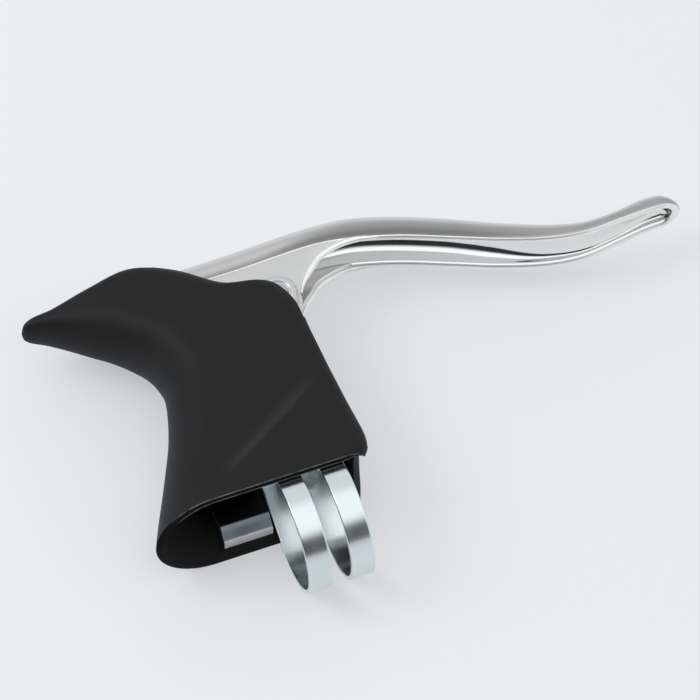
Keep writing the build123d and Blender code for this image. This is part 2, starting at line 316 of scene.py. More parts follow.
class BandSettings(bpy.types.PropertyGroup):
    sheet: length_value("Sheet", "Thickness of the band", 0.9 * MM)
    hoop_width: length_value("Hoop", "Width of one hoop", 5.1 * MM)
    hoop_gap: length_value("Gap", "Gap between the hoops", 4.2 * MM)
    slot_top: length_value("Slot top", "Y where the gap between the hoops ends", 14.0 * MM)
    wrap: bpy.props.FloatProperty(
        name="Wrap",
        description="Angle that each half of the band goes round the bar",
        default=math.radians(110),
        subtype="ANGLE",
    )
    top: length_value("Top", "Y of the folded lips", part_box("clamp_band")[1][1])
    lip_gap: length_value("Lip gap", "Gap between the folded lips", 6.4 * MM)
    fold: length_value("Fold", "Outer radius of the folds", 1.6 * MM)
    zinc: colour_value("Zinc", "Colour of the plating", (0.70, 0.77, 0.79))
    worn: colour_value("Worn zinc", "Colour of the plating's worn edges", (0.85, 0.88, 0.89))


class FittingSettings(bpy.types.PropertyGroup):
    cast: colour_value("Cast alloy", "Colour of the bracket", (0.63, 0.63, 0.645))
    # Painted shade on the bracket under the hood
    under_hood_shade: colour_value(
        "Slate", "Colour of the bracket's uncleaned casting under the hood", (0.38, 0.43, 0.48)
    )
    # Painted shade inside the bracket
    inside_shade: colour_value("Soot", "Colour of the bracket's dull inside", (0.06, 0.062, 0.068))
    # Painted highlight on the foot's edge
    painted_highlight: colour_value("Rubbed foot", "Colour of the foot's rubbed edge", (0.78, 0.79, 0.81))
    steel: colour_value("Steel", "Colour of the pin and bolt", (0.58, 0.59, 0.60))
    nylon: colour_value("Nylon", "Colour of the bushes", (0.80, 0.79, 0.74))
    brass: colour_value("Brass", "Colour of the cable anchor", (0.70, 0.55, 0.28))
    pitch: length_value("Pitch", "Pitch of the bolt's thread", 0.8 * MM)
    worn_cast: colour_value("Worn cast alloy", "Colour of the bracket's edges", (0.92, 0.92, 0.93))
    worn_steel: colour_value("Worn steel", "Colour of the pin's edges", (0.8, 0.8, 0.81))


class StageSettings(bpy.types.PropertyGroup):
    floor: colour_value("Floor", "Colour of the table", (0.815, 0.83, 0.85))
    dome: colour_value("Dome", "Colour of the pale studio", (0.84, 0.85, 0.86))
    flag: colour_value("Flag", "Colour of the dark flag behind the camera", (0.03, 0.032, 0.037))
    far_wall: colour_value(
        "Far wall", "Colour of the wall in front of the camera", (0.5, 0.5, 0.51)
    )
    back_light: bpy.props.FloatVectorProperty(
        name="Back light",
        description="Colour of the bright sky above the camera",
        subtype="COLOR",
        default=(1.2, 1.21, 1.22),
        min=0,
        max=2,
    )
    floor_glow: bpy.props.FloatProperty(
        name="Floor glow",
        description="Share of the table's colour that no shadow takes away",
        default=0.5,
        min=0,
        max=1,
    )
    floor_radius: length_value("Floor radius", "Radius of the round table", 1.6)
    backdrop: length_value("Backdrop", "Height of the pale wall round the table", 0.3)
    eye: point_value("Eye", "Place of the camera", (-0.13178, -0.35453, 0.65219))
    aim: point_value("Aim", "Point that the camera looks at", (0.01667, 0.02719, 0.0181))
    roll: bpy.props.FloatProperty(
        name="Roll",
        description="Turn of the camera about its view",
        default=math.radians(0.618),
        subtype="ANGLE",
    )
    lens: bpy.props.FloatProperty(
        name="Lens",
        description="Focal length in millimetres on a 36 mm sensor",
        default=186.7,
    )
    lamp_place: point_value("Lamp", "Place of the soft lamp", (-0.55, 0.22, 0.65))
    lamp_aim: point_value("Lamp aim", "Point that the lamp faces", (0.02, 0.03, 0))
    lamp_size: length_value("Lamp size", "Side of the square lamp", 0.35)
    lamp_power: bpy.props.FloatProperty(
        name="Lamp power", description="Power of the lamp", default=2.2, unit="POWER"
    )
    lamp_colour: colour_value("Lamp colour", "Colour of the lamp's light", (0.93, 0.96, 1.0))


def smooth_rows(rows, steps):
    """More rows between the given ones, on a smooth line through all of them."""
    out = []
    for i in range(len(rows) - 1):
        a = rows[max(i - 1, 0)]
        b = rows[i]
        c = rows[i + 1]
        d = rows[min(i + 2, len(rows) - 1)]
        for step in range(steps):
            t = step / steps
            out.append([spline(*four, t) for four in zip(a, b, c, d)])
    return out + [list(rows[-1])]


def spline(a, b, c, d, t):
    """Value between b and c of a smooth line through four values."""
    linear = (c - a) * t
    square = (2 * a - 5 * b + 4 * c - d) * t**2
    cube = (3 * b - a - 3 * c + d) * t**3
    return b + (linear + square + cube) / 2


def ease(low, high, value):
    """Rises smoothly from 0 at low to 1 at high."""
    t = min(max((value - low) / (high - low), 0), 1)
    return t * t * (3 - 2 * t)


def sheet(bm, columns, rows, place):
    """A grid of faces, put in place by a function. Returns each point's column and row."""
    made = bmesh.ops.create_grid(bm, x_segments=columns, y_segments=rows, size=1)
    spots = {}
    for vert in made["verts"]:
        column = round((vert.co.x + 1) / 2 * columns)
        row = round((vert.co.y + 1) / 2 * rows)
        spots[vert] = (column, row)
        vert.co = place(column, row)
    return spots


def weld(bm):
    """Closes seams and poles, and turns the faces outwards."""
    bmesh.ops.remove_doubles(bm, verts=bm.verts, dist=WELD)
    bmesh.ops.dissolve_degenerate(bm, edges=bm.edges, dist=WELD)
    bmesh.ops.recalc_face_normals(bm, faces=bm.faces)


def both_sides(bm):
    """Adds the mirror image on the other side of Z, and turns the faces outwards."""
    bmesh.ops.mirror(bm, geom=bm.verts[:] + bm.edges[:] + bm.faces[:], axis="Z", merge_dist=0)
    bmesh.ops.recalc_face_normals(bm, faces=bm.faces)


def piece(bm, name, materials, body, nodes):
    """Turns a bmesh into a smooth piece that rides on a body and stands for CAD nodes."""
    mesh = bpy.data.meshes.new(name)
    bm.to_mesh(mesh)
    bm.free()
    mesh.shade_smooth()
    for material in materials:
        mesh.materials.append(material)
    obj = bpy.data.objects.new(name, mesh)
    bpy.context.scene.collection.objects.link(obj)
    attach(obj, body)
    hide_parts(*nodes)
    return obj


def modify(obj, kind, **values):
    """Adds a modifier with the given settings."""
    modifier = obj.modifiers.new(kind.title(), kind)
    for key, value in values.items():
        setattr(modifier, key, value)


def round_edges(obj, width, segments, **values):
    """Adds a bevel to a piece's sharp edges."""
    modify(
        obj, "BEVEL", width=width, segments=segments, limit_method="ANGLE", angle_limit=SHARP, **values
    )


def node_of(tree, kind, inputs=(), **values):
    """A shader node with its settings, and its inputs linked to sockets or set to values."""
    node = tree.nodes.new(kind)
    for key, value in values.items():
        setattr(node, key, value)
    for name, source in inputs:
        if isinstance(source, bpy.types.NodeSocket):
            tree.links.new(source, node.inputs[name])
        else:
            node.inputs[name].default_value = source
    return node


def math_node(tree, operation, *values):
    """The result of a math node on sockets and numbers."""
    return node_of(tree, "ShaderNodeMath", enumerate(values), operation=operation).outputs[0]


def vector_math(tree, operation, output, *values):
    """An output of a vector math node on sockets and vectors."""
    node = node_of(tree, "ShaderNodeVectorMath", enumerate(values), operation=operation)
    return node.outputs[output]


def times(tree, mask, *others):
    """The product of several masks."""
    for other in others:
        mask = math_node(tree, "MULTIPLY", mask, other)
    return mask


def soft_step(tree, value, low, high):
    """A mask that rises smoothly from 0 at low to 1 at high."""
    inputs = [("Value", value), ("From Min", low), ("From Max", high)]
    step = node_of(tree, "ShaderNodeMapRange", inputs, interpolation_type="SMOOTHSTEP")
    return step.outputs["Result"]


def blend(tree, factor, first, second):
    """Mixes two colours; each is a socket or a plain colour."""
    mix = node_of(tree, "ShaderNodeMix", [("Factor", factor)], data_type="RGBA")
    for name, colour in (("A", first), ("B", second)):
        socket = next(s for s in mix.inputs if s.name == name and s.type == "RGBA")
        if isinstance(colour, bpy.types.NodeSocket):
            tree.links.new(colour, socket)
        else:
            socket.default_value = (*colour, 1)
    return next(s for s in mix.outputs if s.type == "RGBA")


def object_place(tree):
    """A material's Object coordinates."""
    return node_of(tree, "ShaderNodeTexCoord").outputs["Object"]


def group_tree(name, inputs, outputs):
    """An empty shader node group with named sockets. Returns it with its inputs and outputs."""
    tree = bpy.data.node_groups.new(name, "ShaderNodeTree")
    for label, kind, default in inputs:
        socket = tree.interface.new_socket(label, in_out="INPUT", socket_type=kind)
        if default is not None:
            socket.default_value = default
    for label, kind in outputs:
        tree.interface.new_socket(label, in_out="OUTPUT", socket_type=kind)
    return tree, tree.nodes.new("NodeGroupInput").outputs, tree.nodes.new("NodeGroupOutput").inputs


def mottle_group(name):
    """Cloudy patches over a surface: a colour, a roughness and a fine height."""
    tree, given, result = group_tree(
        name,
        [
            ("Vector", "NodeSocketVector", None),
            ("Colour", "NodeSocketColor", (0.5, 0.5, 0.5, 1)),
            ("Shade", "NodeSocketFloat", 0.15),
            ("Roughness", "NodeSocketFloat", 0.4),
            ("Spread", "NodeSocketFloat", 0.1),
            ("Patch scale", "NodeSocketFloat", 120.0),
            ("Grain scale", "NodeSocketFloat", 2500.0),
        ],
        [
            ("Colour", "NodeSocketColor"),
            ("Roughness", "NodeSocketFloat"),
            ("Height", "NodeSocketFloat"),
        ],
    )
    patch = node_of(tree, "ShaderNodeTexNoise", [
        ("Vector", given["Vector"]), ("Scale", given["Patch scale"]), ("Detail", 4)])
    grain = node_of(tree, "ShaderNodeTexNoise", [
        ("Vector", given["Vector"]), ("Scale", given["Grain scale"]), ("Detail", 2)])
    centred = math_node(tree, "SUBTRACT", patch.outputs["Fac"], 0.5)
    shade = math_node(tree, "MULTIPLY", centred, given["Shade"])
    bright = math_node(tree, "ADD", shade, 1)
    tint = node_of(tree, "ShaderNodeVectorMath", [
        (0, given["Colour"]), ("Scale", bright)], operation="SCALE")
    rough = math_node(tree, "MULTIPLY_ADD", centred, given["Spread"], given["Roughness"])
    tree.links.new(tint.outputs[0], result["Colour"])
    tree.links.new(rough, result["Roughness"])
    tree.links.new(grain.outputs["Fac"], result["Height"])
    return tree


def scratch_group(name):
    """Fine polishing lines along one axis, as a height."""
    tree, given, result = group_tree(
        name,
        [("Vector", "NodeSocketVector", None), ("Stretch", "NodeSocketVector", (1.0, 1.0, 1.0))],
        [("Height", "NodeSocketFloat")],
    )
    stretched = vector_math(tree, "MULTIPLY", 0, given["Vector"], given["Stretch"])
    noise = node_of(tree, "ShaderNodeTexNoise", [("Vector", stretched), ("Scale", 1), ("Detail", 3)])
    tree.links.new(noise.outputs["Fac"], result["Height"])
    return tree


def wear_group(name):
    """Where a surface turns over an edge: a mask broken up by noise."""
    tree, given, result = group_tree(
        name,
        [("Vector", "NodeSocketVector", None), ("Radius", "NodeSocketFloat", 0.3 * MM)],
        [("Mask", "NodeSocketFloat")],
    )
    rounded = node_of(tree, "ShaderNodeBevel", [("Radius", given["Radius"])], samples=8)
    face = node_of(tree, "ShaderNodeNewGeometry")
    normals = (rounded.outputs["Normal"], face.outputs["Normal"])
    turn = vector_math(tree, "DOT_PRODUCT", "Value", *normals)
    spots = node_of(tree, "ShaderNodeTexNoise", [
        ("Vector", given["Vector"]), ("Scale", WEAR_SPOT_SCALE)])
    edge = soft_step(tree, turn, *WEAR_TURN)
    broken = soft_step(tree, spots.outputs["Fac"], *WEAR_SPOTS)
    tree.links.new(times(tree, edge, broken), result["Mask"])
    return tree


def effect(tree, name, build, inputs):
    """Outputs of a shared node group in a material; the first material that needs it has it built."""
    group = bpy.data.node_groups.get(name) or build(name)
    return node_of(tree, "ShaderNodeGroup", inputs, node_tree=group).outputs


def overlay(material, mask, colour):
    """Lays a colour over a material's own where a mask says so."""
    tree = material.node_tree
    socket = tree.nodes["Principled BSDF"].inputs["Base Color"]
    tree.links.new(blend(tree, mask, socket.links[0].from_socket, colour), socket)


def emboss(material, height, strength, depth):
    """Adds a height to a material's bumps, with a depth in millimetres."""
    tree = material.node_tree
    socket = tree.nodes["Principled BSDF"].inputs["Normal"]
    inputs = [("Height", height), ("Strength", strength), ("Distance", depth * MM)]
    inputs += [("Normal", link.from_socket) for link in socket.links]
    tree.links.new(node_of(tree, "ShaderNodeBump", inputs).outputs["Normal"], socket)


def finish(name, colour, metallic, roughness, **look):
    """A material with mottled colour and roughness, a fine grain, and worn edges where asked."""
    material = bpy.data.materials.new(name)
    material.use_nodes = True
    tree = material.node_tree
    shader = tree.nodes["Principled BSDF"]
    shader.inputs["Metallic"].default_value = metallic
    if "shine" in look:
        shader.inputs["Specular IOR Level"].default_value = look["shine"]
    mottle = effect(tree, "Mottle", mottle_group, [
        ("Vector", object_place(tree)),
        ("Colour", (*colour, 1)),
        ("Roughness", roughness),
        ("Shade", look["shade"]),
        ("Spread", look["spread"]),
        ("Patch scale", look["patch"]),
        ("Grain scale", look["grain"]),
    ])
    tree.links.new(mottle["Colour"], shader.inputs["Base Color"])
    tree.links.new(mottle["Roughness"], shader.inputs["Roughness"])
    emboss(material, mottle["Height"], look["bump"], look.get("depth", 0.05))
    if "bare" in look:
        wear = effect(tree, "Edge wear", wear_group, [
            ("Vector", object_place(tree)), ("Radius", look["edge"] * MM)])
        overlay(material, wear["Mask"], look["bare"])
    return material


def rubber_material(name, hood, roughness, shine):
    """Satin moulded rubber."""
    return finish(
        name, hood.rubber, 0, roughness, shine=shine,
        shade=0.5, spread=0.12, patch=90, grain=3200, bump=0.25, depth=0.04
    )


def crease_line(hood):
    """The crease on a cheek: its start, its direction, the direction across it and its length."""
    start = Vector(hood.crease_start)
    run = Vector(hood.crease_end) - start
    way = run.normalized()
    return start, way, Vector((-way.y, way.x)), run.length


def cheek_material(hood):
    """The hood's satin rubber, with a paler painted highlight along the crease of each cheek."""
    material = rubber_material("hood rubber", hood, 0.6, 0.24)
    tree = material.node_tree
    place = object_place(tree)
    start, way, across, length = crease_line(hood)
    along = vector_math(tree, "DOT_PRODUCT", "Value", place, (way.x, way.y, 0))
    away = vector_math(tree, "DOT_PRODUCT", "Value", place, (across.x, across.y, 0))
    split = node_of(tree, "ShaderNodeSeparateXYZ", [("Vector", place)])
    first = start.dot(way)
    line = start.dot(across)
    mask = soft_step(tree, math_node(tree, "ABSOLUTE", split.outputs["Z"]), *CREASE_HIGHLIGHT_SIDE)
    for low, high in (CREASE_HIGHLIGHT_BELOW, CREASE_HIGHLIGHT_ABOVE):
        mask = times(tree, mask, soft_step(tree, away, line + low, line + high))
    for low, high in (CREASE_HIGHLIGHT_START, CREASE_HIGHLIGHT_END):
        mask = times(tree, mask, soft_step(tree, along, first + low * length, first + high * length))
    # Painted highlight along the crease
    overlay(material, mask, hood.painted_highlight)
    return material


def lip_highlight_material(hood):
    """The hood's trimmed edge: a painted highlight along the mouth's upper lip, plain rubber elsewhere.
    """
    material = rubber_material("trimmed rubber", hood, 0.65, 0.06)
    tree = material.node_tree
    place = object_place(tree)
    split = node_of(tree, "ShaderNodeSeparateXYZ", [("Vector", place)])
    spots = node_of(tree, "ShaderNodeTexNoise", [("Vector", place), ("Scale", LIP_HIGHLIGHT_SPOT_SCALE)])
    upper = soft_step(tree, split.outputs["Z"], *LIP_HIGHLIGHT_UPPER)
    mouth = soft_step(tree, split.outputs["Y"], *LIP_HIGHLIGHT_MOUTH)
    patchy = soft_step(tree, spots.outputs["Fac"], *LIP_HIGHLIGHT_SPOTS)
    # Painted highlight where the upper lip catches the light
    overlay(material, times(tree, upper, mouth, patchy), hood.lip_highlight)
    return material


def hood_point(hood, row, column):
    """Point of the hood's skin on a station, counted from the middle of its back round +Z."""
    back = Vector((row[0], row[1])) * MM
    front = Vector((row[2], row[3])) * MM
    half = row[4] * MM
    nose = row[5] * MM
    run = front - back
    length = run.length
    corner = min(hood.corner, CORNER_ACROSS * half, CORNER_ALONG * length)
    count = min(column, HOOD_COLUMNS - column)
    if count <= HOOD_BACK:
        turn = math.pi / 2 * count / HOOD_BACK
        along = nose * (1 - math.cos(turn))
        across = half * math.sin(turn)
    elif count <= HOOD_BACK + HOOD_SIDE:
        share = (count - HOOD_BACK) / HOOD_SIDE
        along = nose + (length - corner - nose) * share
        across = half
    elif count <= HOOD_BACK + HOOD_SIDE + HOOD_CORNER:
        turn = math.pi / 2 * (count - HOOD_BACK - HOOD_SIDE) / HOOD_CORNER
        along = length - corner * (1 - math.sin(turn))
        across = half - corner * (1 - math.cos(turn))
    else:
        share = (count - HOOD_BACK - HOOD_SIDE - HOOD_CORNER) / HOOD_FRONT
        along = length
        across = (half - corner) * (1 - share)
    spot = back + run.normalized() * along if length else back
    side = 1 if column < HOOD_COLUMNS / 2 else -1
    return Vector((spot.x, spot.y, side * across))


def scoop_depth(hood, point):
    """How far the cheek is drawn in beside its crease; below zero where the crease stands out."""
    start, way, across, length = crease_line(hood)
    offset = Vector((point.x, point.y)) - start
    along = offset.dot(way) / length
    away = offset.dot(across)
    share = away / hood.scoop_width
    fade = ease(*CREASE_IN, along) * (1 - ease(*CREASE_OUT, along))
    if away <= 0:
        return -hood.ridge * math.exp(share) * fade
    ridge = hood.ridge * math.exp(-RIDGE_FALL * share)
    return (hood.scoop * share * math.exp(1 - share) - ridge) * fade


def build_hood(hood):
    """The hood's rubber skin, with its horn, its arch over the bar and the lever's slot."""
    rows = smooth_rows(HOOD_ROWS, HOOD_STEPS)
    top = HOOD_ROWS[ARCH_TOP_ROW][1] * MM
    rim = HOOD_ROWS[0][1] * MM

    def place(column, index):
        point = hood_point(hood, rows[index], column)
        count = min(column, HOOD_COLUMNS - column)
        if point.x > 0 and point.y < top and count > HOOD_BACK + HOOD_SIDE:
            arch = max(rim, math.sqrt(max(hood.arch**2 - point.z**2, 0)))
            point.y = arch + (point.y - rim) / (top - rim) * (top - arch)
        half = rows[index][4] * MM + TINY
        near_front = min(max((count - HOOD_BACK) / HOOD_SIDE, 0), 1)
        near_mouth = 1 - ease(rim, top, point.y)
        point.x -= hood.flare * near_front**2 * near_mouth * ((1 - point.z / half) / 2) ** 2
        depth = scoop_depth(hood, point) * abs(point.z) / half
        point.z -= math.copysign(depth, point.z)
        return point

    bm = bmesh.new()
    spots = sheet(bm, HOOD_COLUMNS, len(rows) - 1, place)
    lip = HOOD_BACK + HOOD_SIDE + HOOD_LIP
    open_faces = []
    for face in bm.faces:
        columns = [spots[vert][0] for vert in face.verts]
        middle = face.calc_center_median()
        if min(columns) < lip or max(columns) > HOOD_COLUMNS - lip:
            continue
        if middle.x > hood.slot_tail and middle.y > hood.slot_heel:
            open_faces.append(face)
    bmesh.ops.delete(bm, geom=open_faces, context="FACES")
    weld(bm)
    rubbers = [
        cheek_material(hood),
        lip_highlight_material(hood),
        rubber_material("rim rubber", hood, 0.7, 0.04),
    ]
    obj = piece(bm, "hood_skin", rubbers, "body", ["hood"])
    modify(
        obj, "SOLIDIFY", thickness=hood.wall, offset=-1, use_even_offset=True, material_offset_rim=2
    )
    round_edges(obj, LIP_BEVEL, 2, material=1)
    modify(obj, "SUBSURF", levels=1, render_levels=1)


def polished_material(name, colour, roughness, stretch):
    """Polished alloy with faint polishing lines."""
    material = finish(
        name, colour, 1, roughness,
        shade=0.08, spread=0.05, patch=60, grain=900, bump=0.02, depth=0.02
    )
    tree = material.node_tree
    lines = effect(tree, "Polish lines", scratch_group, [
        ("Vector", object_place(tree)), ("Stretch", stretch)])
    emboss(material, lines["Height"], 0.05, 0.02)
    return material


def strip_material(blade):
    """The blade's satin front, with painted shade towards its edges."""
    material = polished_material("satin alloy", blade.satin, 0.3, POLISH_ALONG)
    shade = node_of(material.node_tree, "ShaderNodeAttribute", attribute_name="shade")
    # Painted shade towards the strip's edges
    overlay(material, shade.outputs["Fac"], blade.painted_strip_shade)
    return material


def channel_material(blade):
    """The polished channel with a darker, slightly raised round mark."""
    material = polished_material("polished alloy", blade.alloy, 0.1, POLISH_ALONG)
    tree = material.node_tree
    offset = vector_math(tree, "SUBTRACT", 0, object_place(tree), CHANNEL_MARK)
    away = vector_math(tree, "LENGTH", "Value", offset)
    inside = soft_step(tree, away, *[share * CHANNEL_MARK_RADIUS for share in CHANNEL_MARK_EDGE])
    overlay(material, inside, blade.mark)
    emboss(material, inside, 0.5, 0.15)
    return material


def blade_stations(blade):
    """Stations from the tail to the tip: X, crest, rear edge, half width and the turn round the tip."""
    rows = smooth_rows(BLADE_ROWS, BLADE_STEPS)
    tail = BLADE_ROWS[0][0] * MM
    last = BLADE_ALONG - BLADE_TIP_STEPS
    tip_half = blade.half_width - BLADE_ROWS[-1][3] * MM
    straight_end = blade.tip - tip_half
    out = []
    for i in range(BLADE_ALONG + 1):
        turn = math.pi / 2 * max(i - last, 0) / BLADE_TIP_STEPS
        x = tail + (straight_end - tail) * min(i / last, 1) + tip_half * math.sin(turn)
        before = max(k for k in range(len(rows) - 1) if rows[k][0] * MM <= x)
        share = (x / MM - rows[before][0]) / (rows[before + 1][0] - rows[before][0])
        drop, depth, narrowing = [
            (a + (b - a) * share) * MM for a, b in zip(rows[before][1:], rows[before + 1][1:])
        ]
        crest = blade.strip_front - drop
        out.append((x, crest, crest - depth, blade.half_width - narrowing, turn))
    return out


def channel_floor(x, depth, wall):
    """Metal in front of the channel: a strong crest at the root, a thick neck before the tip."""
    root = min(CREST_WALL * wall, ROOT_SHARE * depth)
    neck = (NECK_SHARE - TIP_LESS * ease(*TIP_RUN, x)) * depth
    return root + (neck - root) * ease(*NECK_RUN, x)


def blade_skin(blade, inset):
    """Places the points of the blade's D-shaped skin, moved in by a wall."""
    stations = blade_stations(blade)
    tip_half = blade.half_width - BLADE_ROWS[-1][3] * MM
    start = blade.tip - blade.tip_length

    def place(column, index):
        x, crest, rear, half, turn = stations[index]
        half = (half - inset) * math.cos(turn)
        if turn:
            x = blade.tip - tip_half + (tip_half - inset) * math.sin(turn)
        depth = crest - rear
        bulge = 1
        if inset:
            depth -= channel_floor(x, depth, inset)
            bulge = 1 - FLATTER * ease(*FLATTER_RUN, x)
        if x > start:
            reach = min((x - start) / (blade.tip_length - inset), 1)
            depth = min(depth, (blade.tip_depth - inset) * math.sqrt(1 - reach**2))
        lean = math.pi * (column / BLADE_ACROSS - 0.5)
        y = rear + depth * max(math.cos(lean), 0) ** bulge
        return Vector((x, y, half * math.sin(lean)))

    return place


def arc(centre, radius, start, end, steps):
    """Points on an arc, in degrees."""
    turns = [math.radians(start + (end - start) * i / steps) for i in range(steps + 1)]
    return [(centre[0] + radius * math.cos(t), centre[1] + radius * math.sin(t)) for t in turns]


def gusset_curve(blade):
    """Rear edge of an ear, from the blade's rim down to the pivot boss."""
    heel = (PIVOT[0] + blade.boss_radius, PIVOT[1])
    rim, past = [
        (x * MM, blade.strip_front - (drop + depth) * MM)
        for x, drop, depth, _ in BLADE_ROWS[GUSSET_ROW : GUSSET_ROW + 2]
    ]
    bends = [(heel[0] + a * MM, heel[1] + b * MM) for a, b in GUSSET_POINTS]
    below = (heel[0], heel[1] - 2 * blade.boss_radius)
    rows = smooth_rows([past, rim] + bends + [heel, below], GUSSET_STEPS)
    return rows[GUSSET_STEPS:-GUSSET_STEPS]


def bead_path(blade):
    """Points of the bead on the +Z side: up the gusset and a little way along the blade's rim."""
    side = blade.ear_face - BEAD_SINK * blade.bead
    path = [Vector((x, y, side)) for x, y in reversed(gusset_curve(blade))]
    start = path[-1].x + BEAD_JOIN
    for x, _, rear, half, _ in blade_stations(blade):
        if start < x < start + BEAD_RUN:
            path.append(Vector((x, rear + BEAD_LIFT, half - blade.bead)))
    for _ in range(BEAD_SMOOTHING):
        middle = [(a + b + c) / 3 for a, b, c in zip(path, path[1:], path[2:])]
        path = path[:1] + middle + path[-1:]
    return path


def build_bead(blade, material):
    """A rolled bead along each gusset, running out into the blade's rim."""
    path = bead_path(blade)
    last = len(path) - 1
    outwards = Vector((0, 0, 1))
    frames = []
    for i in range(last + 1):
        along = (path[min(i + 1, last)] - path[max(i - 1, 0)]).normalized()
        outwards = (outwards - along * outwards.dot(along)).normalized()
        frames.append((outwards, along.cross(outwards)))

    def place(column, row):
        turn = 2 * math.pi * column / BEAD_SIDES
        first, second = frames[row]
        swell = ease(0, BEAD_TAPER, min(row, last - row))
        radius = blade.bead * (BEAD_END + (1 - BEAD_END) * swell)
        return path[row] + (first * math.cos(turn) + second * math.sin(turn)) * radius

    bm = bmesh.new()
    sheet(bm, BEAD_SIDES, last, place)
    bmesh.ops.remove_doubles(bm, verts=bm.verts, dist=WELD)
    bmesh.ops.holes_fill(bm, edges=[edge for edge in bm.edges if edge.is_boundary])
    both_sides(bm)
    piece(bm, "gusset_beads", [material], "lever", ["lever_blade"])


def ear_outline(blade):
    """Outline of one ear: gusset, pivot boss, anchor boss and the lap behind the strip."""
    lap = blade.crease + blade.ear_lap
    gap = Vector((ANCHOR[0] - PIVOT[0], ANCHOR[1] - PIVOT[1]))
    lean = math.degrees(math.atan2(gap.y, gap.x))
    taper = math.degrees(math.asin((blade.boss_radius - blade.anchor_boss) / gap.length))
    tangent = lean + 90 + taper - 360
    outline = gusset_curve(blade)[:-1]
    outline += arc(PIVOT, blade.boss_radius, 0, tangent, EAR_PIVOT_STEPS)
    outline += arc(ANCHOR, blade.anchor_boss, tangent, EAR_ANCHOR_END, EAR_ANCHOR_STEPS)
    outline.append((ANCHOR[0] - blade.anchor_boss + EAR_SHOULDER, lap))
    for x, drop, depth, _ in BLADE_ROWS[EAR_FIRST_ROW : GUSSET_ROW + 1]:
        outline.append((x * MM, blade.strip_front - (drop + depth) * MM + blade.ear_lap))
    return outline


def build_ears(blade, material):
    """The two flat ears that carry the pivot and the cable anchor."""
    bm = bmesh.new()
    face = bm.faces.new([bm.verts.new((x, y, blade.ear_face)) for x, y in ear_outline(blade)])
    grown = bmesh.ops.extrude_face_region(bm, geom=[face])
    verts = [item for item in grown["geom"] if isinstance(item, bmesh.types.BMVert)]
    bmesh.ops.translate(bm, verts=verts, vec=(0, 0, -blade.ear_thickness))
    both_sides(bm)
    obj = piece(bm, "lever_ears", [material], "lever", ["lever_blade"])
    round_edges(obj, EAR_BEVEL, 4)


def build_blade(blade):
    """The blade's front strip, channel and rolled rim, with its ears and beads."""
    bm = bmesh.new()
    tail_end = BLADE_ROWS[0][0] * MM + TAIL_MARGIN
    # How much painted shade each point of the front strip gets, more towards its edges
    shade = bm.verts.layers.float.new("shade")
    for vert, (column, _) in sheet(bm, BLADE_ACROSS, BLADE_ALONG, blade_skin(blade, 0)).items():
        share = abs(2 * column / BLADE_ACROSS - 1)
        start = STRIP_SHADE_START - STRIP_SHADE_SOONER * ease(*STRIP_SHADE_RUN, vert.co.x)
        vert[shade] = ease(start, 1, share) * (1 - STRIP_SHADE_FADE * ease(*STRIP_SHADE_FADE_RUN, vert.co.x))
    outer = len(bm.faces)
    sheet(bm, BLADE_ACROSS, BLADE_ALONG, blade_skin(blade, blade.wall))
    bm.faces.ensure_lookup_table()
    for face in bm.faces[outer:]:
        face.material_index = 1
    bmesh.ops.remove_doubles(bm, verts=bm.verts, dist=WELD)
    bmesh.ops.dissolve_degenerate(bm, edges=bm.edges, dist=WELD / 10)
    rim = bmesh.ops.bridge_loops(bm, edges=[edge for edge in bm.edges if edge.is_boundary])
    for face in rim["faces"]:
        face.material_index = 2
    split = bmesh.ops.subdivide_edges(bm, edges=rim["edges"], cuts=1)
    for item in split["geom_inner"]:
        if isinstance(item, bmesh.types.BMVert) and item.co.x > tail_end:
            item.co.y -= blade.rim_round
    bmesh.ops.recalc_face_normals(bm, faces=bm.faces)
    rolled = polished_material("rolled rim alloy", blade.rim, 0.42, POLISH_ALONG)
    alloys = [strip_material(blade), channel_material(blade), rolled]
    obj = piece(bm, "blade_body", alloys, "lever", ["lever_blade"])
    modify(obj, "SUBSURF", levels=2, render_levels=2)
    build_ears(blade, polished_material("web alloy", blade.web, 0.25, POLISH_WEB))
    build_bead(blade, rolled)


def band_path(band):
    """Middle line of half the band as Y and Z, from its lip round to the far side of the bar."""
    radius = -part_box("clamp_band")[0][1] - BAND_MARGIN - band.sheet / 2
    fold = band.fold - band.sheet / 2
    top = band.top - band.sheet / 2
    lean = band.wrap - math.pi / 2
    centre_y = top - fold
    centre_z = (radius - fold - centre_y * math.sin(lean)) / math.cos(lean)
    path = []
    for i in range(BAND_LIP):
        path.append((top, band.lip_gap / 2 + (centre_z - band.lip_gap / 2) * i / BAND_LIP))
    for i in range(BAND_FOLD):
        turn = (math.pi / 2 - lean) * i / BAND_FOLD
        path.append((centre_y + fold * math.cos(turn), centre_z + fold * math.sin(turn)))
    first = (centre_y + fold * math.sin(lean), centre_z + fold * math.cos(lean))
    last = (radius * math.sin(lean), radius * math.cos(lean))
    for i in range(BAND_LEG):
        share = i / BAND_LEG
        path.append((first[0] + (last[0] - first[0]) * share, first[1] + (last[1] - first[1]) * share))
    for i in range(BAND_ARC + 1):
        turn = lean - (lean + math.pi / 2) * i / BAND_ARC
        path.append((radius * math.sin(turn), radius * math.cos(turn)))
    return path


